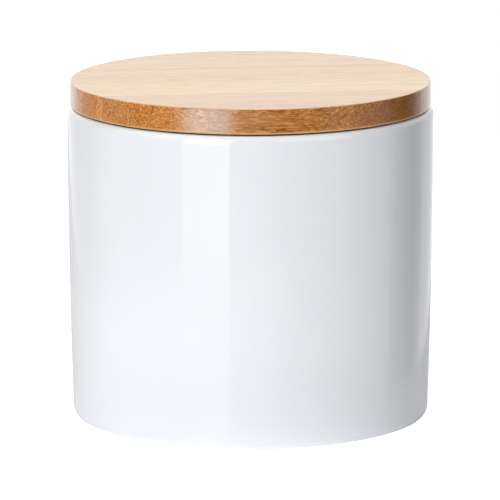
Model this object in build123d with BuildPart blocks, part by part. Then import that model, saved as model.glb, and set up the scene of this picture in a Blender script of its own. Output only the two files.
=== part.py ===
"""A round porcelain storage canister with a push-in bamboo lid, in millimetres, +Z up.

The origin is the centre of the foot, on the surface that the canister stands on. The shell is one
pressed porcelain piece with a straight bore: its wall draws in a little towards the foot, its rim
is rounded by the glaze, and it stands on a narrow foot ring. The lid is turned from a board of two
crossed plies of bamboo slats, glued edge to edge: the upper ply covers the rim, and the lower ply is
the plug, with a groove for a finned silicone seal ring. Upper slats run along X, plug slats along Y.
"""

import os

from build123d import *

# Porcelain shell
canister_height = 84.8  # foot to rim
rim_radius = 50.0  # outside, at the rim
foot_taper = 1.15  # the radius lost between the rim, where the wall is plumb, and the foot
wall = 4.2  # at the rim
floor = 4.0
rim_round = 1.9
mouth_bevel = 0.9  # inside the rim, where the plug enters
floor_bevel = 4.0  # inside, where the wall meets the floor
heel_height = 1.6  # the round between the wall and the foot starts this high
heel_width = 0.75  # and ends this far in from the wall
foot_width = 3.4  # the flat ring that touches the table
foot_recess = 1.4  # the underside's rise inside the foot ring
foot_draft = 0.9  # the slope of the foot's inner side, over the height of the recess

# Bamboo lid
lid_inset = 0.8  # the lid's edge stands this far inside the rim's outer face
lid_gap = 0.3  # the pressed seal holds the lid this far off the rim, a thin dark slit
upper_ply = 6.9
lid_edge_bevel = 0.4
plug_ply = 8.0
plug_clearance = 1.0  # bare bamboo to porcelain, round the plug
plug_bevel = 0.8
upper_first_slat = 3.0  # width left of the outermost slat at the ply's -Y edge
upper_last_slat = 7.4  # and at its +Y edge
upper_full_count = 4  # slats of one width, 22 mm, between them
plug_first_slat = 6.8  # width left of the outermost slat at the ply's -X edge
plug_last_slat = 16.8  # and at its +X edge
plug_full_count = 3  # slats of one width, 22 mm, between them

# Silicone seal ring
groove_depth = 2.2
groove_height = 4.4
seal_play = 0.1  # ring to groove, on each side, so that the lid can be turned in it
seal_clearance = 0.12  # pressed fin to bore
band_thickness = 1.5
fin_count = 3
fin_rise = 0.3  # how far a fin's tip is dragged up, past its middle, as the plug goes in

# Radii and heights that several pieces share
foot_radius = rim_radius - foot_taper
bore_radius = rim_radius - wall
floor_top = foot_recess + floor
lid_radius = rim_radius - lid_inset
lid_seat = canister_height + lid_gap
plug_radius = bore_radius - plug_clearance
groove_radius = plug_radius - groove_depth
plug_bottom = lid_seat - plug_ply
groove_bottom = plug_bottom + (plug_ply - groove_height) / 2


def near(profile, radius, height):
    """The corner of a profile that lies nearest to a radius and a height."""
    return profile.vertices().sort_by_distance((radius, height))[0]


def glue_joints(radius, first_slat, last_slat, full_count):
    """Places of the glue joints across a round ply, whose full slats share the width between the end slats."""
    first = first_slat - radius
    slat_width = (radius - last_slat - first) / full_count
    return [first + slat_width * number for number in range(full_count + 1)]


def slats(make_slat, name, joints):
    """Writes one file for each slat of a ply, numbered in the direction in which the joints follow each other."""
    edges = [None, *joints, None]
    for number, (low, high) in enumerate(zip(edges[:-1], edges[1:]), start=1):
        slat = make_slat(low, high)
        slat.part.label = f"{name}_{number}"
        export_step(slat.part, f"parts/{slat.part.label}.step")


def upper_slat(low, high):
    """A slat of the upper ply, between two glue joints across Y. None stands for the board's own edge."""
    with BuildPart() as slat:
        with BuildSketch(Plane.XZ):
            with Locations((0, lid_seat)):
                Rectangle(lid_radius, upper_ply, align=(Align.MIN, Align.MIN))
            chamfer(vertices().group_by(Axis.X)[-1], lid_edge_bevel)
        revolve(axis=Axis.Z)
        if low is not None:
            split(bisect_by=Plane((0, low, 0), z_dir=(0, 1, 0)), keep=Keep.TOP)
        if high is not None:
            split(bisect_by=Plane((0, high, 0), z_dir=(0, 1, 0)), keep=Keep.BOTTOM)
    return slat


def plug_slat(low, high):
    """A slat of the plug ply, between two glue joints across X, with its stretch of the seal's groove."""
    with BuildPart() as slat:
        with BuildSketch(Plane.XZ) as profile:
            with Locations((0, plug_bottom)):
                Rectangle(plug_radius, plug_ply, align=(Align.MIN, Align.MIN))
            chamfer(near(profile, plug_radius, plug_bottom), plug_bevel)
            with Locations((groove_radius, groove_bottom)):
                Rectangle(groove_depth, groove_height, align=(Align.MIN, Align.MIN), mode=Mode.SUBTRACT)
        revolve(axis=Axis.Z)
        if low is not None:
            split(bisect_by=Plane((low, 0, 0), z_dir=(1, 0, 0)), keep=Keep.TOP)
        if high is not None:
            split(bisect_by=Plane((high, 0, 0), z_dir=(1, 0, 0)), keep=Keep.BOTTOM)
    return slat


os.makedirs("parts", exist_ok=True)

# Porcelain shell: a turned profile from the middle of the underside, round the foot, up the wall,
# over the rim and down the bore to the floor.
foot_outer_radius = foot_radius - heel_width
foot_inner_radius = foot_outer_radius - foot_width

with BuildPart() as canister:
    with BuildSketch(Plane.XZ) as profile:
        with BuildLine():
            Polyline(
                (0, floor_top),
                (0, foot_recess),
                (foot_inner_radius - foot_draft, foot_recess),
                (foot_inner_radius, 0),
                (foot_outer_radius, 0),
            )
            outside = TangentArc((rim_radius, canister_height), (foot_radius, heel_height), tangent=(0, -1))
            TangentArc(outside @ 1, (foot_outer_radius, 0), tangent=outside % 1)
            Polyline(
                (rim_radius, canister_height),
                (bore_radius, canister_height),
                (bore_radius, floor_top),
                (0, floor_top),
            )
        make_face()
        fillet(near(profile, rim_radius, canister_height), rim_round)
        chamfer(near(profile, bore_radius, canister_height), mouth_bevel)
        chamfer(near(profile, bore_radius, floor_top), floor_bevel)
    revolve(axis=Axis.Z)
canister.part.label = "canister"
export_step(canister.part, "parts/canister.step")

# Bamboo lid: the upper ply covers the rim, and the plug ply is glued under it with its grain crossed.
upper_joints = glue_joints(lid_radius, upper_first_slat, upper_last_slat, upper_full_count)
slats(upper_slat, "lid_slat", upper_joints)
plug_joints = glue_joints(plug_radius, plug_first_slat, plug_last_slat, plug_full_count)
slats(plug_slat, "plug_slat", plug_joints)

# Silicone seal ring: a band in the plug's groove, whose outer side is a row of fins that lie against
# the bore. The fins share the band's height, and each is pressed flat enough to bend up a little.
band_inner = groove_radius + seal_play
band_outer = band_inner + band_thickness
band_bottom = groove_bottom + seal_play
band_top = groove_bottom + groove_height - seal_play
fin_pitch = (band_top - band_bottom) / fin_count
fin_reach = bore_radius - seal_clearance

with BuildPart() as seal_ring:
    with BuildSketch(Plane.XZ):
        with BuildLine():
            outline = [(band_inner, band_top), (band_inner, band_bottom), (band_outer, band_bottom)]
            for number in range(fin_count):
                root = band_bottom + fin_pitch * number
                outline.append((fin_reach, root + fin_pitch / 2 + fin_rise))
                outline.append((band_outer, root + fin_pitch))
            Polyline(*outline, close=True)
        make_face()
    revolve(axis=Axis.Z)
seal_ring.part.label = "seal_ring"
export_step(seal_ring.part, "parts/seal_ring.step")
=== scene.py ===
import math
from collections import namedtuple

import bmesh
import bpy
from mathutils import Matrix, Vector


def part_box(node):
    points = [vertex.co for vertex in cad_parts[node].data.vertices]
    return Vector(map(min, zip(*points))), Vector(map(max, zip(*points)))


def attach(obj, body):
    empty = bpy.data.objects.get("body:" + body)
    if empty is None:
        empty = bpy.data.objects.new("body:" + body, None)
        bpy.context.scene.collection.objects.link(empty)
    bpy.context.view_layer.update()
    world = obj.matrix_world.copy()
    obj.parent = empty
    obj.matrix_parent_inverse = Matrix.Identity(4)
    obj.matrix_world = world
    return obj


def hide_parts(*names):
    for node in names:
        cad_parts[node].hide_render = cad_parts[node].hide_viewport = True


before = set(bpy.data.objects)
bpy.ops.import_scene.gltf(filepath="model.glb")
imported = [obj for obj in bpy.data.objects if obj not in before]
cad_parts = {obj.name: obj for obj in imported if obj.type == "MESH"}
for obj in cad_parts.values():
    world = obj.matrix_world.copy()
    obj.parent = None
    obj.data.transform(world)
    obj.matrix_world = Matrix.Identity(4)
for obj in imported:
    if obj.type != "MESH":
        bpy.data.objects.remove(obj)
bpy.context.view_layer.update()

bl_info = {
    "name": "Porcelain Canister with Bamboo Lid",
    "version": (1, 0, 0),
    "blender": (4, 5, 0),
    "location": "3D View > Sidebar > Canister",
    "description": "Turns a glazed porcelain canister, its bamboo lid and silicone seal, and sets a studio round them",
    "category": "Add Mesh",
}

MM = 0.001
UPPER_NODES = sorted(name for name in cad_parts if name.startswith("lid_slat"))
PLUG_NODES = sorted(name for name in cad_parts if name.startswith("plug_slat"))
MIDDLE_SLAT = 2  # a slat, counted from 0, that reaches from one side of its ply to the other

# How finely the turned pieces are made
SHELL_STEPS = 256  # faces round the shell
UPPER_PLY_STEPS = 320
PLUG_PLY_STEPS = 288
SEAL_STEPS = 240
LONGEST_RUN = 3.0 * MM  # along the shell's profile
RADIUS_STEP = 0.25 * MM  # a round has a segment for each of these in its radius, within the two numbers below
FEWEST_SEGMENTS = 4
MOST_SEGMENTS = 12
LONG_RUN = 1.0 * MM  # a straight run longer than this gets a vertex beside each round
BESIDE_ROUND = 0.12 * MM  # and this is how far from the round it is
SAME_PLACE = 0.001 * MM  # vertices this close are one
NO_LENGTH = 0.0005 * MM  # an edge this short is none
ON_PLANE = 0.0001 * MM  # a vertex this close to a cut lies on it
SHARP_ANGLE = math.radians(32)
LEVEL = 0.95  # a face whose normal has more Z than this is level
SEAT_LIFT = 0.12 * MM  # raises the upper ply's underside from the CAD one, so that the slit shows at its width
FIN_COUNT = 3

# Bamboo grain: noise scales in cycles per millimetre along the fibres and across them
SLAT_SHIFT = (310.0, 47.0, 13.0)  # each slat's grain is moved by up to this, in millimetres
WANDER_SCALE = (0.11, 0.16, 0.16)
WANDER_REACH = (0.0, 2.0, 2.0)  # how far the fibres wander, in millimetres
BAND_SCALE = (0.012, 0.3, 0.3)
FIBRE_SCALE = (0.35, 2.6, 2.6)
BUNDLE_SCALE = 0.8
GLUE_HALF_WIDTH = (0.06, 0.14)  # full up to the first, in millimetres, and gone at the second
GRAIN_DEPTH = 0.02 * MM

# Bamboo: linear colours, and tints that multiply them
GLUE_LINE = (0.20, 0.10, 0.04)
PALE_FIBRE = (0.80, 0.43, 0.15)
# painted shade: dark underside of the turned edge, for the slit under the lid
UNDERSIDE_PAINTED_SHADE = (0.12, 0.04, 0.012)
UPPER_TINTS = (
    (1.0, 0.98, 0.97),
    (0.98, 0.93, 0.92),
    (1.06, 1.09, 1.07),
    (1.03, 1.0, 0.98),
    (1.02, 1.0, 1.02),
    (0.98, 0.97, 0.96),
)
EDGE_TINTS = (
    (0.85, 0.84, 0.86),
    (1.04, 1.0, 1.0),
    (1.30, 1.42, 1.36),
    (1.0, 0.97, 0.96),
    (1.0, 0.98, 1.0),
    (0.98, 0.97, 0.96),
)
PLUG_TINTS = ((1.0, 0.98, 0.95), (0.92, 0.90, 0.88), (1.02, 1.02, 1.0), (0.96, 0.92, 0.90), (1.0, 0.97, 0.95))
DARK_END = (0.62, 0.59, 0.57)  # the turned edge darkens to this tint towards one end of its slats
DARK_END_RUN = (9.0, 38.0)  # from here to here, in millimetres along the slats
# Stretches of the turned edge with a tint each. The middle one is a painted tint where the softbox highlight falls,
# bluer so that the highlight looks whiter; the outer two are darker and less blue. In millimetres along the slats:
# where one fades in, where it is full, where it starts to fade out and where it ends, with its tint.
EDGE_PATCHES = (
    (-60.0, -59.0, -44.6, -43.6, (0.83, 0.69, 0.50)),
    (-26.0, -21.0, -15.5, -10.0, (0.77, 0.92, 1.55)),
    (18.0, 26.0, 32.5, 35.0, (0.90, 0.80, 0.48)),
)

# How the same bamboo looks where it is cut along the slats and where it is turned across them: the mottle's
# noise scale, and how strongly the bundles' dots, the pale flecks and the glue lines show
Cut = namedtuple("Cut", "mottle dots flecks glue")
FACE_CUT = Cut((0.1, 2.6, 2.6), 0.8, 0.0, 0.9)
EDGE_CUT = Cut((0.5, 2.2, 2.2), 0.45, 0.6, 0.1)
# Where a ply's slats lie: the turn that brings them along X, the place of the first glue joint, the width of
# a full slat and a tint for each slat
Layout = namedtuple("Layout", "turn first_joint slat_width tints")

# Glaze and porcelain
POOLED = 0.975  # share of the glaze's colour where it lies thicker
POOL_SCALE = 0.05
WAVE_SCALE = 0.09
WAVE_DEPTH = 0.007 * MM
CLAY_SCALE = 2.5
CLAY_DEPTH = 0.03 * MM
WORN = 0.8  # share of the bare porcelain's colour where it is rubbed
# painted light: the rim's round is painted whiter, against the shade that the lid casts on it
RIM_PAINTED_LIGHT = (0.92, 0.92, 0.92)
RIM_PAINTED_LIGHT_BAND = (1.0, 0.2)  # the white of the rim starts and is full this far under the top, in millimetres

# The room's brightness by its direction along the horizon, in degrees from the camera's side to the right
ROOM_WALLS = (
    (-180.0, 1.6),
    (-150.0, 1.0),
    (-120.0, 0.3),
    (-95.0, 0.45),
    (-75.0, 0.0),
    (35.0, 0.0),
    (55.0, 0.45),
    (75.0, 0.6),
    (99.0, 0.65),
    (101.5, 0.0),
    (124.0, 0.0),
    (131.0, 0.4),
    (136.0, 0.6),
    (139.0, 0.95),
    (152.0, 0.95),
    (165.0, 1.1),
    (180.0, 1.6),
)
WALL_TOP = (20.0, 35.0)  # elevations, in degrees, between which the walls fade into the dark ceiling

# Lamps
WARM_WHITE = (1.01, 1.0, 0.98)
UPRIGHT_DISTANCE = 1.2
# Upright lamps: azimuth from the camera's in degrees, width, lower end and upper end in metres, brightness,
# and its share at the left end and the right end where these differ
UPRIGHT_LAMPS = {
    "main_softbox": (-27.5, 0.63, 0.42, 1.6, 5.08, (0.6, 1.4)),
    "dim_softbox": (-27.5, 0.63, -0.03, 0.42, 2.3, (0.4, 1.6)),
    "edge_softbox": (-27.5, 0.63, -0.115, -0.03, 13.8, None),
    "front_strip": (0.0, 0.56, -0.12, -0.03, 1.6, None),
    "low_reflector": (-27.5, 0.63, -1.3, -0.12, 1.0, (1.3, 2.2)),
}
SOFTBOX_DISTANCE = 1.3
SOFTBOX_SIDE = 1.0
# Square softboxes that face the canister: azimuth from the camera's and elevation in degrees, brightness
SQUARE_SOFTBOXES = {
    "left_fill": (-75.0, 42.0, 1.24),
    "right_fill": (45.0, 42.0, 1.64),
    "back_softbox": (180.0, 45.0, 2.7),
}

# Table
TABLE_WHITES = ((0.90, 0.90, 0.90), (0.92, 0.92, 0.92))
TABLE_BOUNCE = (0.82, 0.82, 0.82)  # as the canister's own colour gathers it
TABLE_MIRRORED = (0.50, 0.50, 0.50)  # as the glaze reflects it
TABLE_ROUGHNESS = 0.05
TABLE_SHINE = 0.36  # specular level, which the camera itself doesn't see
TABLE_SEEN_GLOW = 0.6  # keeps the sheet white to the camera
# A glow painted into the sheet round the foot: light that the sheet itself gives off from round the foot, seen only by
# diffuse rays, in place of light bounced up to the canister. Its middle and radii in millimetres, and its strength
TABLE_GLOW_MIDDLE = (-25.0, -12.0, 0.0)
TABLE_GLOW_RADII = (48.0, 84.0)
TABLE_GLOW = 0.56

# Camera
SENSOR_WIDTH = 36.0  # millimetres
CLIPPING = (0.1, 20.0)


def highest(node):
    """The highest corner of a CAD node's box."""
    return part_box(node)[1]


def lowest(node):
    """The lowest corner of a CAD node's box."""
    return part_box(node)[0]


def length(name, description, default):
    """A length that a user can change, in metres."""
    return bpy.props.FloatProperty(
        name=name, description=description, default=default, min=0.0, precision=5, unit="LENGTH", subtype="DISTANCE"
    )


def colour(name, description, default):
    """A linear colour that a user can change."""
    return bpy.props.FloatVectorProperty(
        name=name, description=description, default=default, size=3, min=0.0, max=1.0, subtype="COLOR"
    )


def amount(name, description, default, top=1.0):
    """A plain number that a user can change."""
    return bpy.props.FloatProperty(name=name, description=description, default=default, min=0.0, max=top)


def angle(name, description, degrees):
    """An angle that a user can change."""
    return bpy.props.FloatProperty(
        name=name, description=description, default=math.radians(degrees), unit="ROTATION", subtype="ANGLE"
    )


class CANISTER_PG_shell(bpy.types.PropertyGroup):
    """The turned porcelain shell and its glaze"""

    rim_radius: length("Rim radius", "Outside radius at the rim", highest("canister").y)
    height: length("Height", "From the foot to the rim", highest("canister").z)
    foot_taper: length("Foot taper", "Radius lost between the rim, where the wall is plumb, and the foot", 1.15 * MM)
    wall: length("Wall", "Thickness at the rim", 4.2 * MM)
    floor_top: length("Floor", "Height of the inside floor", 5.4 * MM)
    rim_round: length("Rim round", "Radius of the glazed rim, outside", 1.9 * MM)
    mouth_round: length("Mouth round", "Radius of the rim, inside", 1.1 * MM)
    floor_round: length("Floor round", "Radius inside, where the wall meets the floor", 5.5 * MM)
    heel_height: length("Heel height", "Where the round between wall and foot starts", 1.6 * MM)
    heel_width: length("Heel width", "How far in from the wall that round ends", 0.75 * MM)
    foot_width: length("Foot width", "The flat ring that touches the table", 3.4 * MM)
    foot_recess: length("Foot recess", "The underside's rise inside the foot ring", 1.4 * MM)
    foot_draft: length("Foot draft", "Slope of the foot's inner side", 0.9 * MM)
    glaze: colour("Glaze", "White glaze over the porcelain", (0.804, 0.834, 0.880))
    bare_clay: colour("Bare clay", "Unglazed porcelain on the foot ring", (0.74, 0.70, 0.64))
    gloss: amount("Glaze roughness", "Roughness of the clear glaze", 0.02)


class CANISTER_PG_lid(bpy.types.PropertyGroup):
    """The two crossed plies of bamboo slats"""

    radius: length("Lid radius", "Radius of the upper ply", highest(UPPER_NODES[MIDDLE_SLAT]).x)
    top: length("Lid top", "Height of the lid's face", highest(UPPER_NODES[MIDDLE_SLAT]).z)
    seat: length(
        "Lid seat", "Height of the upper ply's underside, just clear of the rim",
        lowest(UPPER_NODES[MIDDLE_SLAT]).z + SEAT_LIFT,
    )
    edge_round: length("Edge round", "Radius of the lid's sanded edges", 0.35 * MM)
    joint_round: length("Joint round", "Broken edge of a slat along a glue joint", 0.05 * MM)
    plug_radius: length("Plug radius", "Radius of the plug ply", 44.8 * MM)
    plug_bottom: length("Plug bottom", "Height of the plug's underside", lowest(PLUG_NODES[MIDDLE_SLAT]).z)
    plug_round: length("Plug round", "Radius of the plug's lower edge", 0.9 * MM)
    groove_depth: length("Groove depth", "Depth of the seal's groove", 2.2 * MM)
    groove_lift: length("Groove lift", "From the plug's underside to the groove", 1.8 * MM)
    groove_height: length("Groove height", "From the groove's lower side to its upper side", 4.4 * MM)
    face_light: colour("Face, light", "Pale bamboo on the flat faces", (0.722, 0.531, 0.342))
    face_dark: colour("Face, dark", "Fibre streaks on the flat faces", (0.548, 0.361, 0.204))
    edge_light: colour("Edge, light", "Caramel bamboo on the turned edge", (0.55, 0.215, 0.042))
    edge_dark: colour("Edge, dark", "Fibre bundles on the turned edge", (0.24, 0.07, 0.009))
    # The arris colour is partly the paler sanded wood and partly a painted highlight for the light that the rounded
    # arrises catch
    arris: colour("Arris", "Sanded arrises of the turned edge", (0.72, 0.42, 0.18))


class CANISTER_PG_seal(bpy.types.PropertyGroup):
    """The finned silicone ring"""

    inner: length("Inner radius", "Radius of the band's inner side", 42.7 * MM)
    band: length("Band", "Thickness of the band behind the fins", 1.1 * MM)
    reach: length("Reach", "Radius of the pressed fins' tips", highest("seal_ring").x)
    bottom: length("Bottom", "Height of the ring's lower side", lowest("seal_ring").z)
    top: length("Top", "Height of the ring's upper side", highest("seal_ring").z)
    fin: length("Fin", "Thickness of a fin at its tip", 0.3 * MM)
    silicone: colour("Silicone", "Milky clear silicone", (0.88, 0.90, 0.89))


class CANISTER_PG_studio(bpy.types.PropertyGroup):
    """The camera, the table and the lamps"""

    azimuth: angle("Camera azimuth", "Direction that the camera looks from, 0 from the side of -Y", -7.0)
    elevation: angle("Camera elevation", "How far above the horizon the camera is", 11.54)
    distance: length("Camera distance", "From the point that the camera looks at", 1.281)
    lens: bpy.props.FloatProperty(
        name="Lens", description="Focal length, in millimetres", default=336.1, min=1.0, unit="CAMERA"
    )
    aim_height: length("Aim height", "Height of the point that the camera looks at", 44.4 * MM)
    aim_side: length("Aim offset", "How far left of the axis that point is", 0.155 * MM)
    table_left: length("Table left", "From the canister's axis to the white acrylic sheet's left edge", 0.17)
    table_right: length("Table right", "From the canister's axis to the sheet's right edge", 0.09)
    table_front: length("Table front", "From the canister's axis to the sheet's front edge", 0.262)
    table_back: length("Table back", "From the canister's axis to the sheet's back edge", 0.9)
    key: amount("Upright lamps", "Strength of the upright softboxes, strip and reflector in front", 1.0, 10.0)
    fill: amount("Square softboxes", "Strength of the softboxes at the sides and behind", 1.0, 10.0)
    room: amount("Room", "Brightness of the room's white walls", 1.0, 10.0)


def corner_setback(before, corner, after, radius):
    """How far from a corner a round of this radius starts."""
    turn = (corner - before).angle(after - corner)
    return radius * math.tan(turn / 2)


def profile_wire(corners, closed):
    """A wire in the XZ plane through the corners (radius, height, round), with each rounded corner made round.

    Where a round meets a long straight run, a vertex is added on the run close to the round's end, so that the
    smooth shading of the round doesn't spread along the run.
    """
    mesh = bmesh.new()
    places = [Vector((radius, 0.0, height)) for radius, height, _ in corners]
    verts = [mesh.verts.new(place) for place in places]
    ends = zip(verts, verts[1:] + verts[:1]) if closed else zip(verts, verts[1:])
    for pair in ends:
        mesh.edges.new(pair)
    for number, (vert, (_, _, radius)) in enumerate(zip(verts, corners)):
        if not radius:
            continue
        before, after = places[number - 1], places[(number + 1) % len(places)]
        setback = corner_setback(before, places[number], after, radius)
        segments = max(FEWEST_SEGMENTS, min(MOST_SEGMENTS, round(radius / RADIUS_STEP)))
        arc = bmesh.ops.bevel(
            mesh, geom=[vert], offset=setback, offset_type="OFFSET", segments=segments,
            profile=0.5, affect="VERTICES", material=-1, clamp_overlap=True,
        )
        inside = set(arc["edges"])
        for end in arc["verts"]:
            for edge in [e for e in end.link_edges if e not in inside and e.calc_length() > LONG_RUN]:
                bmesh.utils.edge_split(edge, end, BESIDE_ROUND / edge.calc_length())
    return mesh


def divide_runs(mesh, longest):
    """Divides the wire's straight runs, so that none is longer than this."""
    for edge in list(mesh.edges):
        cuts = math.ceil(edge.calc_length() / longest) - 1
        if cuts > 0:
            bmesh.ops.subdivide_edges(mesh, edges=[edge], cuts=cuts)


def spin_profile(mesh, steps):
    """Spins the wire once round Z and closes it at the poles."""
    geometry = list(mesh.verts) + list(mesh.edges)
    bmesh.ops.spin(
        mesh, geom=geometry, cent=(0, 0, 0), axis=(0, 0, 1), dvec=(0, 0, 0), angle=math.tau, steps=steps,
        use_merge=True, use_normal_flip=False, use_duplicate=False,
    )
    bmesh.ops.remove_doubles(mesh, verts=mesh.verts, dist=SAME_PLACE)
    bmesh.ops.dissolve_degenerate(mesh, edges=mesh.edges, dist=NO_LENGTH)
    bmesh.ops.recalc_face_normals(mesh, faces=mesh.faces)


def cut_at_joint(mesh, direction, place, keep_above, joint_round):
    """Cuts the turned ply with a plane, closes the cut and breaks its edges."""
    cut = bmesh.ops.bisect_plane(
        mesh, geom=list(mesh.verts) + list(mesh.edges) + list(mesh.faces), dist=ON_PLANE,
        plane_co=direction * place, plane_no=direction, clear_inner=keep_above, clear_outer=not keep_above,
    )
    rim = [part for part in cut["geom_cut"] if isinstance(part, bmesh.types.BMEdge)]
    bmesh.ops.edgenet_fill(mesh, edges=rim)
    bmesh.ops.recalc_face_normals(mesh, faces=mesh.faces)
    bmesh.ops.bevel(
        mesh, geom=rim, offset=joint_round, offset_type="OFFSET", segments=1, profile=0.5, affect="EDGES",
        material=-1, clamp_overlap=True,
    )


def finished_piece(mesh, name, body, nodes, materials):
    """The bmesh as an object of that name, which rides on a body and stands for CAD nodes."""
    data = bpy.data.meshes.new(name)
    mesh.to_mesh(data)
    mesh.free()
    for material in materials:
        data.materials.append(material)
    data.shade_smooth()
    data.set_sharp_from_angle(angle=SHARP_ANGLE)
    piece = bpy.data.objects.new(name, data)
    bpy.context.scene.collection.objects.link(piece)
    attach(piece, body)
    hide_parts(*nodes)
    return piece


def lay_slats(ply, direction, joints, joint_round, pale_side, name, nodes, materials):
    """Parts a turned ply at its glue joints. Each slat becomes a piece of its own, and stands for its CAD node.

    Only the flat face on the pale side, 1 for the upper and -1 for the lower, has the first material.
    """
    for number, (low, high, node) in enumerate(zip([None, *joints], [*joints, None], nodes), start=1):
        mesh = ply.copy()
        if low is not None:
            cut_at_joint(mesh, direction, low, True, joint_round)
        if high is not None:
            cut_at_joint(mesh, direction, high, False, joint_round)
        for face in mesh.faces:
            face.material_index = 0 if face.normal.z * pale_side > LEVEL else 1
        finished_piece(mesh, f"{name}_{number}", "lid", [node], materials)
    ply.free()


def feed(tree, socket, value):
    """Links an output to the socket, or sets the socket to a value."""
    if isinstance(value, bpy.types.NodeSocket):
        tree.links.new(value, socket)
    else:
        socket.default_value = value


def add_node(tree, kind, inputs=None, **settings):
    """A shader node with its settings. Each input is a value, or an output to link."""
    node = tree.nodes.new(kind)
    for name, value in settings.items():
        setattr(node, name, value)
    for name, value in (inputs or {}).items():
        feed(tree, node.inputs[name], value)
    return node


def maths(tree, operation, *values):
    """The result of a Math node."""
    return add_node(tree, "ShaderNodeMath", dict(enumerate(values)), operation=operation).outputs[0]


def vector_maths(tree, operation, first, second):
    """The result of a Vector Math node."""
    node = add_node(tree, "ShaderNodeVectorMath", {0: first, 1: second}, operation=operation)
    return node.outputs["Value" if operation == "DISTANCE" else "Vector"]


def mix_numbers(tree, factor, first, second):
    """Two numbers mixed by a factor."""
    return add_node(tree, "ShaderNodeMix", {0: factor, 2: first, 3: second}).outputs[0]


def ramp_between(tree, value, low, high, to_low=0.0, to_high=1.0):
    """Value mapped smoothly from low..high to to_low..to_high."""
    limits = {"Value": value, "From Min": low, "From Max": high, "To Min": to_low, "To Max": to_high}
    return add_node(tree, "ShaderNodeMapRange", limits, interpolation_type="SMOOTHSTEP").outputs["Result"]


def mix_colours(tree, factor, first, second, blend="MIX"):
    """Two colours, each an output or three numbers, mixed by a factor."""
    inputs = {0: factor}
    for number, value in ((6, first), (7, second)):
        inputs[number] = value if isinstance(value, bpy.types.NodeSocket) else (*value, 1.0)
    return add_node(tree, "ShaderNodeMix", inputs, data_type="RGBA", blend_type=blend).outputs[2]


def noise(tree, vector, scale, detail=2.0, roughness=0.5):
    """A noise between 0 and 1."""
    inputs = {"Vector": vector, "Scale": scale, "Detail": detail, "Roughness": roughness}
    return add_node(tree, "ShaderNodeTexNoise", inputs).outputs["Fac"]


def stretched(tree, vector, scale):
    """Coordinates scaled along each axis."""
    return vector_maths(tree, "MULTIPLY", vector, scale)


def axis_of(tree, vector, axis):
    """One coordinate of a vector."""
    return add_node(tree, "ShaderNodeSeparateXYZ", {"Vector": vector}).outputs[axis]


def bump_from(tree, shader, height, distance, strength=1.0):
    """Gives the shader a bump of this depth, in metres."""
    bump = add_node(tree, "ShaderNodeBump", {"Height": height, "Distance": distance, "Strength": strength})
    tree.links.new(bump.outputs["Normal"], shader.inputs["Normal"])


def set_shader(tree, shader, inputs):
    """Links or sets the shader's own inputs by their names."""
    for name, value in inputs.items():
        feed(tree, shader.inputs[name], value)


def new_material(name):
    """A material with an empty tree, and its Principled shader."""
    material = bpy.data.materials.new(name)
    material.use_nodes = True
    tree = material.node_tree
    tree.nodes.clear()
    shader = tree.nodes.new("ShaderNodeBsdfPrincipled")
    output = tree.nodes.new("ShaderNodeOutputMaterial")
    tree.links.new(shader.outputs["BSDF"], output.inputs["Surface"])
    return material, tree, shader


def millimetres(tree, turn=0.0):
    """Object coordinates in millimetres, turned about Z."""
    place = add_node(tree, "ShaderNodeTexCoord").outputs["Object"]
    mapping = add_node(
        tree, "ShaderNodeMapping",
        {"Vector": place, "Rotation": (0.0, 0.0, turn), "Scale": (1 / MM, 1 / MM, 1 / MM)},
    )
    return mapping.outputs["Vector"]


def glaze_material(shell):
    """Clear gloss over white porcelain, a little uneven in tone and level, and with painted light round the rim,
    whiter where the lid shades its round.
    """
    material, tree, shader = new_material("white_glaze")
    place = millimetres(tree)
    pooling = noise(tree, place, POOL_SCALE, 3.0)
    deep = [channel * POOLED for channel in shell.glaze]
    tint = mix_colours(tree, pooling, shell.glaze, deep)
    top = shell.height / MM
    # Painted light: the glaze turns whiter just under the rim, against the lid's shade
    start, full = RIM_PAINTED_LIGHT_BAND
    rim = ramp_between(tree, axis_of(tree, place, "Z"), top - start, top - full)
    tint = mix_colours(tree, rim, tint, RIM_PAINTED_LIGHT)
    bump_from(tree, shader, noise(tree, place, WAVE_SCALE, 1.0), WAVE_DEPTH)
    set_shader(tree, shader, {"Base Color": tint, "Roughness": shell.gloss, "IOR": 1.5})
    return material


def clay_material(shell):
    """Bare fired porcelain, matt and slightly rough, where the foot was wiped clean of glaze."""
    material, tree, shader = new_material("bare_porcelain")
    grain = noise(tree, millimetres(tree), CLAY_SCALE, 4.0, 0.7)
    worn = [channel * WORN for channel in shell.bare_clay]
    bump_from(tree, shader, grain, CLAY_DEPTH)
    set_shader(tree, shader, {"Base Color": mix_colours(tree, grain, worn, shell.bare_clay), "Roughness": 0.75})
    return material


def slat_tint(tree, number, tints):
    """The tone of a slat, by its number in the ply."""
    place = maths(tree, "DIVIDE", maths(tree, "ADD", number, 0.5), len(tints))
    ramp = tree.nodes.new("ShaderNodeValToRGB")
    ramp.color_ramp.interpolation = "CONSTANT"
    while len(ramp.color_ramp.elements) < len(tints):
        ramp.color_ramp.elements.new(1.0)
    for slat, tint in enumerate(tints):
        ramp.color_ramp.elements[slat].position = slat / len(tints)
        ramp.color_ramp.elements[slat].color = (*tint, 1.0)
    tree.links.new(place, ramp.inputs["Fac"])
    return ramp.outputs["Color"]


def bent_fibres(tree, place, number):
    """A slat's own coordinates, shifted by its number, and the same with the fibres' slight wander."""
    chance = add_node(tree, "ShaderNodeTexWhiteNoise", {"W": number}, noise_dimensions="1D")
    own = vector_maths(tree, "ADD", place, stretched(tree, chance.outputs["Color"], SLAT_SHIFT))
    slow = stretched(tree, own, WANDER_SCALE)
    wander = add_node(tree, "ShaderNodeTexNoise", {"Vector": slow, "Scale": 1.0, "Detail": 2.0})
    swing = vector_maths(tree, "SUBTRACT", wander.outputs["Color"], (0.5, 0.5, 0.5))
    return own, vector_maths(tree, "ADD", stretched(tree, swing, WANDER_REACH), own)


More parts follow.
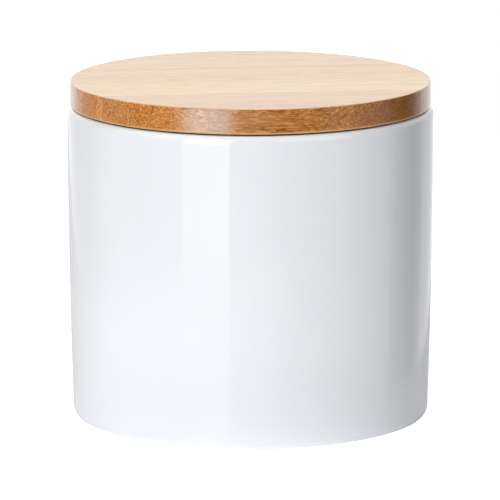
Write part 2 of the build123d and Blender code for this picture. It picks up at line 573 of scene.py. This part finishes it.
def bundle_dots(tree, bent, strength):
    """Dots where the fibre bundles, a millimetre or so apart, end in a surface. Each has a strength of its own."""
    section = add_node(tree, "ShaderNodeSeparateXYZ", {"Vector": bent})
    cell = add_node(tree, "ShaderNodeCombineXYZ", {"X": section.outputs["Y"], "Y": section.outputs["Z"]})
    bundles = add_node(
        tree, "ShaderNodeTexVoronoi", {"Vector": cell.outputs[0], "Scale": BUNDLE_SCALE, "Randomness": 1.0},
        voronoi_dimensions="2D", feature="F1",
    )
    dots = ramp_between(tree, bundles.outputs["Distance"], 0.12, 0.42, 1.0, 0.0)
    each = add_node(tree, "ShaderNodeSeparateColor", {"Color": bundles.outputs["Color"]})
    return maths(tree, "MULTIPLY", dots, ramp_between(tree, each.outputs["Red"], 0.2, 1.0, 0.0, strength))


def bamboo_material(name, light, dark, cut, layout):
    """Bamboo slats side by side, with fibre bundles that run along the slats in all their depth.

    Returns the material, its tree, its shader and the colour, so that a finish can be added.
    """
    material, tree, shader = new_material(name)
    place = millimetres(tree, layout.turn)
    slat_width = layout.slat_width / MM
    from_joint = maths(tree, "SUBTRACT", axis_of(tree, place, "Y"), layout.first_joint / MM)
    across = maths(tree, "DIVIDE", from_joint, slat_width)
    number = maths(tree, "ADD", maths(tree, "FLOOR", across), 1.0)
    own, bent = bent_fibres(tree, place, number)

    dots = bundle_dots(tree, bent, cut.dots)
    mottle = noise(tree, stretched(tree, bent, cut.mottle), 1.0, 2.0, 0.6)
    bands = noise(tree, stretched(tree, own, BAND_SCALE), 1.0, 2.0)
    fibres = noise(tree, stretched(tree, bent, FIBRE_SCALE), 1.0, 1.0)

    body = mix_colours(tree, ramp_between(tree, mottle, 0.36, 0.6), dark, light)
    body = mix_colours(tree, ramp_between(tree, bands, 0.3, 0.7, 0.1, 0.6), body, light)
    spotted = mix_colours(tree, dots, body, dark)
    spotted = mix_colours(tree, ramp_between(tree, fibres, 0.52, 0.64, 0.0, cut.flecks), spotted, PALE_FIBRE)
    toned = mix_colours(tree, 1.0, spotted, slat_tint(tree, number, layout.tints), "MULTIPLY")
    from_glue = maths(tree, "MULTIPLY", maths(tree, "PINGPONG", across, 0.5), slat_width)
    toned = mix_colours(tree, ramp_between(tree, from_glue, *GLUE_HALF_WIDTH, cut.glue, 0.0), toned, GLUE_LINE)
    bump_from(tree, shader, maths(tree, "SUBTRACT", mottle, dots), GRAIN_DEPTH, 0.6)
    return material, tree, shader, toned


def bamboo_face(name, lid, layout):
    """The flat faces of a ply, pale and satin."""
    material, tree, shader, toned = bamboo_material(name, lid.face_light, lid.face_dark, FACE_CUT, layout)
    set_shader(tree, shader, {"Base Color": toned, "Roughness": 0.45})
    return material


def bamboo_edge(name, lid, low, high, layout):
    """The turned sides of a ply between two heights, caramel under gloss lacquer.

    The arrises are sanded paler, with a painted highlight where their rounds catch the light, and the underside is
    painted dark as the shade in the slit under the lid.
    """
    material, tree, shader, toned = bamboo_material(name, lid.edge_light, lid.edge_dark, EDGE_CUT, layout)
    along = axis_of(tree, millimetres(tree, layout.turn), "X")
    toned = mix_colours(tree, ramp_between(tree, along, *DARK_END_RUN), toned, DARK_END, "MULTIPLY")
    # The middle patch is painted for the softbox highlight on the front, bluer so that the highlight looks whiter
    for start, full, still, end, tint in EDGE_PATCHES:
        fade_in = ramp_between(tree, along, start, full)
        fade_out = ramp_between(tree, along, still, end, 1.0, 0.0)
        toned = mix_colours(tree, maths(tree, "MULTIPLY", fade_in, fade_out), toned, tint, "MULTIPLY")
    height = axis_of(tree, millimetres(tree), "Z")
    low, high, arris = low / MM, high / MM, lid.edge_round / MM
    # The arrises go paler: partly the paler sanded wood, partly a painted highlight for the light that their rounds
    # catch
    lower = ramp_between(tree, height, low + 0.8 * arris, low + 2.0 * arris, 0.8, 0.0)
    upper = ramp_between(tree, height, high - 0.9 * arris, high - 0.1 * arris, 0.0, 0.7)
    sanded = mix_colours(tree, maths(tree, "MAXIMUM", lower, upper), toned, lid.arris)
    # Painted shade: the underside and the lowest sliver of the lower round go dark, for the slit under the lid
    under = ramp_between(tree, height, low, low + 0.3 * arris, 0.8, 0.0)
    sanded = mix_colours(tree, under, sanded, UNDERSIDE_PAINTED_SHADE)
    set_shader(tree, shader, {
        "Base Color": sanded,
        "Roughness": 0.3,
        "IOR": 1.4,
        "Coat Weight": 1.0,
        "Coat Roughness": 0.22,
        "Coat IOR": 1.5,
    })
    return material


def silicone_material(seal):
    """Milky silicone with a soft sheen and a dusting of handling marks."""
    material, tree, shader = new_material("milky_silicone")
    place = millimetres(tree)
    cloud = noise(tree, place, 0.25, 3.0)
    dull = [channel * 0.93 for channel in seal.silicone]
    marks = noise(tree, place, 1.4, 3.0)
    set_shader(tree, shader, {
        "Base Color": mix_colours(tree, cloud, seal.silicone, dull),
        "Roughness": ramp_between(tree, marks, 0.3, 0.7, 0.28, 0.42),
        "IOR": 1.41,
        "Transmission Weight": 0.12,
        "Subsurface Weight": 0.4,
        "Subsurface Radius": (1.0, 1.0, 1.0),
        "Subsurface Scale": 1.5 * MM,
    })
    return material


def heel_corner_and_radius(shell, foot, foot_outer):
    """The corner between the wall's lower end and the flat of the foot, and the radius that rounds it.

    The radius is a little less than the corner has room for, so that the round ends clear of its neighbours.
    """
    spare = 0.98
    start = Vector((foot, shell.heel_height))
    slope = math.atan(2 * shell.foot_taper / (shell.height - shell.heel_height))
    chord = Vector((foot_outer, 0.0)) - start
    turn = math.atan2(-chord.x, -chord.y) - slope
    reach = chord.length / (2 * math.cos(turn))
    corner = start - reach * Vector((math.sin(slope), math.cos(slope)))
    return corner, reach / math.tan(turn) * spare


class CANISTER_OT_turn_shell(bpy.types.Operator):
    """Turn the porcelain shell, with its rounded rim, heel and foot ring, and glaze it"""

    bl_idname = "canister.turn_shell"
    bl_label = "Turn the porcelain shell"

    def execute(self, context):
        shell = context.scene.canister_shell
        bore = shell.rim_radius - shell.wall
        foot = shell.rim_radius - shell.foot_taper
        foot_outer = foot - shell.heel_width
        foot_inner = foot_outer - shell.foot_width
        heel, heel_radius = heel_corner_and_radius(shell, foot, foot_outer)
        mesh = profile_wire(
            [
                (0.0, shell.foot_recess, 0.0),
                (foot_inner - shell.foot_draft, shell.foot_recess, 0.6 * MM),
                (foot_inner, 0.0, 0.25 * MM),
                (foot_outer, 0.0, 0.0),
                (heel.x, heel.y, heel_radius),
                (foot, shell.heel_height, 0.0),
                (shell.rim_radius, shell.height, shell.rim_round),
                (bore, shell.height, shell.mouth_round),
                (bore, shell.floor_top, shell.floor_round),
                (0.0, shell.floor_top, 0.0),
            ],
            closed=False,
        )
        divide_runs(mesh, LONGEST_RUN)
        # The outside of the wall is straight so far. Here it is bowed, to stand plumb at the rim.
        near = 0.01 * MM
        for vert in mesh.verts:
            if vert.co.x > foot - near and shell.heel_height < vert.co.z < shell.height - shell.rim_round + near:
                share = (shell.height - vert.co.z) / (shell.height - shell.heel_height)
                vert.co.x = shell.rim_radius - shell.foot_taper * share**2
        spin_profile(mesh, SHELL_STEPS)
        for face in mesh.faces:
            if face.calc_center_median().z < 0.02 * MM:
                face.material_index = 1
        materials = [glaze_material(shell), clay_material(shell)]
        finished_piece(mesh, "glazed_shell", "canister", ["canister"], materials)
        return {"FINISHED"}


class CANISTER_OT_lay_upper_ply(bpy.types.Operator):
    """Turn the lid's upper ply, and part it at its glue joints into slats along X"""

    bl_idname = "canister.lay_upper_ply"
    bl_label = "Lay the lid's upper slats"

    def execute(self, context):
        lid = context.scene.canister_lid
        joints = [highest(node).y for node in UPPER_NODES[:-1]]
        layout = Layout(0.0, joints[0], joints[1] - joints[0], UPPER_TINTS)
        face = bamboo_face("bamboo_face", lid, layout)
        edge = bamboo_edge("bamboo_turned_edge", lid, lid.seat, lid.top, layout._replace(tints=EDGE_TINTS))
        ply = profile_wire(
            [
                (0.0, lid.seat, 0.0),
                (lid.radius, lid.seat, lid.edge_round),
                (lid.radius, lid.top, lid.edge_round),
                (0.0, lid.top, 0.0),
            ],
            closed=False,
        )
        spin_profile(ply, UPPER_PLY_STEPS)
        lay_slats(ply, Vector((0, 1, 0)), joints, lid.joint_round, 1, "upper_slat", UPPER_NODES, [face, edge])
        return {"FINISHED"}


class CANISTER_OT_lay_plug_ply(bpy.types.Operator):
    """Turn the plug ply with the seal's groove, and part it at its glue joints into slats along Y"""

    bl_idname = "canister.lay_plug_ply"
    bl_label = "Lay the plug's crossed slats"

    def execute(self, context):
        lid = context.scene.canister_lid
        joints = [highest(node).x for node in PLUG_NODES[:-1]]
        quarter = math.pi / 2
        layout = Layout(quarter, -joints[-1], joints[1] - joints[0], PLUG_TINTS)
        face = bamboo_face("bamboo_plug_face", lid, layout)
        edge = bamboo_edge("bamboo_plug_edge", lid, lid.plug_bottom, lid.top, layout)
        groove = lid.plug_radius - lid.groove_depth
        groove_bottom = lid.plug_bottom + lid.groove_lift
        groove_top = groove_bottom + lid.groove_height
        groove_round = 0.15 * MM
        ply = profile_wire(
            [
                (0.0, lid.plug_bottom, 0.0),
                (lid.plug_radius, lid.plug_bottom, lid.plug_round),
                (lid.plug_radius, groove_bottom, groove_round),
                (groove, groove_bottom, 0.0),
                (groove, groove_top, 0.0),
                (lid.plug_radius, groove_top, groove_round),
                (lid.plug_radius, lid.seat, 0.0),
                (0.0, lid.seat, 0.0),
            ],
            closed=False,
        )
        spin_profile(ply, PLUG_PLY_STEPS)
        lay_slats(ply, Vector((1, 0, 0)), joints, lid.joint_round, -1, "crossed_slat", PLUG_NODES, [face, edge])
        return {"FINISHED"}


class CANISTER_OT_mould_seal(bpy.types.Operator):
    """Mould the silicone ring with its three thin fins"""

    bl_idname = "canister.mould_seal"
    bl_label = "Mould the seal ring"

    def execute(self, context):
        seal = context.scene.canister_seal
        root = seal.inner + seal.band
        pitch = (seal.top - seal.bottom) / FIN_COUNT
        band_round, root_round, tip_round = 0.15 * MM, 0.2 * MM, 0.06 * MM
        corners = [
            (seal.inner, seal.top, band_round),
            (seal.inner, seal.bottom, band_round),
            (root, seal.bottom, band_round),
        ]
        for fin in range(FIN_COUNT):
            middle = seal.bottom + pitch * (fin + 0.5)
            corners += [
                (root, middle - seal.fin, root_round),
                (seal.reach, middle + 0.5 * seal.fin, tip_round),
                (seal.reach - 0.1 * MM, middle + 1.5 * seal.fin, tip_round),
                (root, middle + 0.9 * seal.fin, root_round),
            ]
        corners.append((root, seal.top, band_round))
        mesh = profile_wire(corners, closed=True)
        spin_profile(mesh, SEAL_STEPS)
        finished_piece(mesh, "seal_fins", "seal", ["seal_ring"], [silicone_material(seal)])
        return {"FINISHED"}


def towards(azimuth, elevation):
    """The direction from the canister to a place in the studio, by its azimuth and elevation in degrees."""
    a, e = math.radians(azimuth), math.radians(elevation)
    return Vector((math.sin(a) * math.cos(e), -math.cos(a) * math.cos(e), math.sin(e)))


def area_lamp(name, width, height, radiance, place, back):
    """A rectangular lamp at a place, which shines against the direction back. Its face has this brightness."""
    lamp = bpy.data.lights.new(name, "AREA")
    lamp.color = WARM_WHITE
    lamp.shape = "RECTANGLE"
    lamp.size = width
    lamp.size_y = height
    lamp.energy = radiance * math.pi * width * height
    holder = bpy.data.objects.new(name, lamp)
    bpy.context.scene.collection.objects.link(holder)
    holder.matrix_world = Matrix.Translation(place) @ back.to_track_quat("Z", "Y").to_matrix().to_4x4()
    holder.visible_camera = False
    return lamp


def brighten_across(lamp, left, right):
    """Makes a lamp's face brighter from its left side to its right side, as the camera sees its reflection."""
    lamp.use_nodes = True
    tree = lamp.node_tree
    place = add_node(tree, "ShaderNodeNewGeometry").outputs["Parametric"]
    strength = mix_numbers(tree, axis_of(tree, place, "X"), left, right)
    tree.links.new(strength, tree.nodes["Emission"].inputs["Strength"])


def set_lamps(studio):
    """The upright lamps, which draw the highlight on the glaze, and the square softboxes round them."""
    view = math.degrees(studio.azimuth)
    for name, (azimuth, width, bottom, top, radiance, shares) in UPRIGHT_LAMPS.items():
        back = towards(view + azimuth, 0.0)
        place = back * UPRIGHT_DISTANCE + Vector((0, 0, (top + bottom) / 2))
        lamp = area_lamp(name, width, top - bottom, radiance * studio.key, place, back)
        if shares:
            brighten_across(lamp, *shares)
    middle = Vector((0, 0, studio.aim_height))
    for name, (azimuth, elevation, radiance) in SQUARE_SOFTBOXES.items():
        back = towards(view + azimuth, elevation)
        place = middle + back * SOFTBOX_DISTANCE
        area_lamp(name, SOFTBOX_SIDE, SOFTBOX_SIDE, radiance * studio.fill, place, back)


def set_camera(studio):
    """The photograph's view."""
    back = towards(math.degrees(studio.azimuth), math.degrees(studio.elevation))
    left = back.cross(Vector((0, 0, 1))).normalized()
    aim = Vector((0, 0, studio.aim_height)) + left * studio.aim_side
    data = bpy.data.cameras.new("view_camera")
    data.sensor_width = SENSOR_WIDTH
    data.lens = studio.lens
    data.clip_start, data.clip_end = CLIPPING
    camera = bpy.data.objects.new("view_camera", data)
    bpy.context.scene.collection.objects.link(camera)
    turn = back.to_track_quat("Z", "Y")
    camera.matrix_world = Matrix.Translation(aim + back * studio.distance) @ turn.to_matrix().to_4x4()
    bpy.context.scene.camera = camera


def acrylic_material():
    """White gloss acrylic that stays white to the camera but for the canister's shadow.

    What it gives to the canister, as light and as a reflection, is set apart from how the camera sees it.
    """
    material, tree, shader = new_material("white_acrylic")
    place = millimetres(tree)
    path = add_node(tree, "ShaderNodeLightPath").outputs
    seen, bounced = path["Is Camera Ray"], path["Is Diffuse Ray"]
    white = mix_colours(tree, noise(tree, place, 0.01), *TABLE_WHITES)
    white = mix_colours(tree, bounced, white, TABLE_BOUNCE)
    white = mix_colours(tree, path["Is Glossy Ray"], white, TABLE_MIRRORED)
    # Painted glow round the foot, which lights the canister's lower wall though the sheet is no lamp
    apart = vector_maths(tree, "DISTANCE", place, TABLE_GLOW_MIDDLE)
    glow = maths(tree, "MULTIPLY", bounced, ramp_between(tree, apart, *TABLE_GLOW_RADII, TABLE_GLOW, 0.0))
    set_shader(tree, shader, {
        "Base Color": white,
        "Roughness": TABLE_ROUGHNESS,
        "Specular IOR Level": mix_numbers(tree, seen, TABLE_SHINE, 0.0),
        "Emission Color": (1, 1, 1, 1),
        "Emission Strength": mix_numbers(tree, seen, glow, TABLE_SEEN_GLOW),
    })
    return material


def set_table(studio):
    """A sheet of white acrylic, square to the camera."""
    mesh = bmesh.new()
    bmesh.ops.create_grid(mesh, x_segments=1, y_segments=1, size=0.5)
    width, depth = studio.table_left + studio.table_right, studio.table_front + studio.table_back
    middle = (studio.table_right - width / 2, studio.table_back - depth / 2, 0.0)
    bmesh.ops.scale(mesh, verts=mesh.verts, vec=(width, depth, 1.0))
    bmesh.ops.translate(mesh, verts=mesh.verts, vec=middle)
    bmesh.ops.rotate(mesh, verts=mesh.verts, cent=(0, 0, 0), matrix=Matrix.Rotation(studio.azimuth, 3, "Z"))
    data = bpy.data.meshes.new("table")
    mesh.to_mesh(data)
    mesh.free()
    data.materials.append(acrylic_material())
    table = bpy.data.objects.new("table", data)
    bpy.context.scene.collection.objects.link(table)


def grey_ramp(tree, value, stops):
    """Value turned into a brightness, with straight lines between the stops (value, brightness)."""
    low, high = stops[0][0], stops[-1][0]
    top = max(brightness for _, brightness in stops)
    limits = {"Value": value, "From Min": low, "From Max": high}
    place = add_node(tree, "ShaderNodeMapRange", limits).outputs["Result"]
    ramp = tree.nodes.new("ShaderNodeValToRGB")
    while len(ramp.color_ramp.elements) < len(stops):
        ramp.color_ramp.elements.new(1.0)
    for number, (position, brightness) in enumerate(stops):
        ramp.color_ramp.elements[number].position = (position - low) / (high - low)
        ramp.color_ramp.elements[number].color = (brightness / top, brightness / top, brightness / top, 1.0)
    tree.links.new(place, ramp.inputs["Fac"])
    return maths(tree, "MULTIPLY", ramp.outputs["Color"], top)


def set_world(studio):
    """A room that is dark in front and overhead, and white behind and at the sides, with a black flag at the right.

    The camera sees plain white.
    """
    world = bpy.data.worlds.new("studio_room")
    bpy.context.scene.world = world
    world.use_nodes = True
    tree = world.node_tree
    tree.nodes.clear()
    place = add_node(tree, "ShaderNodeTexCoord").outputs["Generated"]
    turned = add_node(tree, "ShaderNodeMapping", {"Vector": place, "Rotation": (0.0, 0.0, -studio.azimuth)})
    apart = add_node(tree, "ShaderNodeSeparateXYZ", {"Vector": turned.outputs["Vector"]})
    front = maths(tree, "MULTIPLY", apart.outputs["Y"], -1.0)
    direction = maths(tree, "DEGREES", maths(tree, "ARCTAN2", apart.outputs["X"], front))
    walls = grey_ramp(tree, direction, ROOM_WALLS)
    height = maths(tree, "DEGREES", maths(tree, "ARCSINE", apart.outputs["Z"]))
    low = maths(tree, "MULTIPLY", walls, ramp_between(tree, height, *WALL_TOP, 1.0, 0.0))
    path = add_node(tree, "ShaderNodeLightPath")
    plain = maths(tree, "MAXIMUM", path.outputs["Is Camera Ray"], path.outputs["Is Transmission Ray"])
    strength = mix_numbers(tree, plain, maths(tree, "MULTIPLY", low, studio.room), 1.0)
    surface = add_node(tree, "ShaderNodeBackground", {"Color": (1, 1, 1, 1), "Strength": strength})
    output = tree.nodes.new("ShaderNodeOutputWorld")
    tree.links.new(surface.outputs["Background"], output.inputs["Surface"])


class CANISTER_OT_set_stage(bpy.types.Operator):
    """Set the camera, the white table, the lamps and the room"""

    bl_idname = "canister.set_stage"
    bl_label = "Set the studio"

    def execute(self, context):
        studio = context.scene.canister_studio
        set_camera(studio)
        set_table(studio)
        set_world(studio)
        set_lamps(studio)
        context.scene.view_settings.view_transform = "Standard"
        return {"FINISHED"}


class CANISTER_PT_sidebar(bpy.types.Panel):
    """The canister's sizes, finishes and steps"""

    bl_label = "Porcelain canister"
    bl_idname = "CANISTER_PT_sidebar"
    bl_space_type = "VIEW_3D"
    bl_region_type = "UI"
    bl_category = "Canister"

    def draw(self, context):
        for name, (_, operators) in SECTIONS.items():
            box = self.layout.box()
            for operator in operators:
                box.operator(operator.bl_idname)
            settings = getattr(context.scene, name)
            for setting in settings.__annotations__:
                box.prop(settings, setting)


# The sidebar's sections: the scene's property, the kind of its settings, and the operators that use them
SECTIONS = {
    "canister_shell": (CANISTER_PG_shell, [CANISTER_OT_turn_shell]),
    "canister_lid": (CANISTER_PG_lid, [CANISTER_OT_lay_upper_ply, CANISTER_OT_lay_plug_ply]),
    "canister_seal": (CANISTER_PG_seal, [CANISTER_OT_mould_seal]),
    "canister_studio": (CANISTER_PG_studio, [CANISTER_OT_set_stage]),
}
CLASSES = [kind for group, operators in SECTIONS.values() for kind in (group, *operators)] + [CANISTER_PT_sidebar]


def register():
    for kind in CLASSES:
        bpy.utils.register_class(kind)
    for name, (group, _) in SECTIONS.items():
        setattr(bpy.types.Scene, name, bpy.props.PointerProperty(type=group))


def unregister():
    for name in SECTIONS:
        delattr(bpy.types.Scene, name)
    for kind in reversed(CLASSES):
        bpy.utils.unregister_class(kind)


def main():
    register()
    bpy.ops.canister.turn_shell()
    bpy.ops.canister.lay_upper_ply()
    bpy.ops.canister.lay_plug_ply()
    bpy.ops.canister.mould_seal()
    bpy.ops.canister.set_stage()


if __name__ == "__main__":
    main()
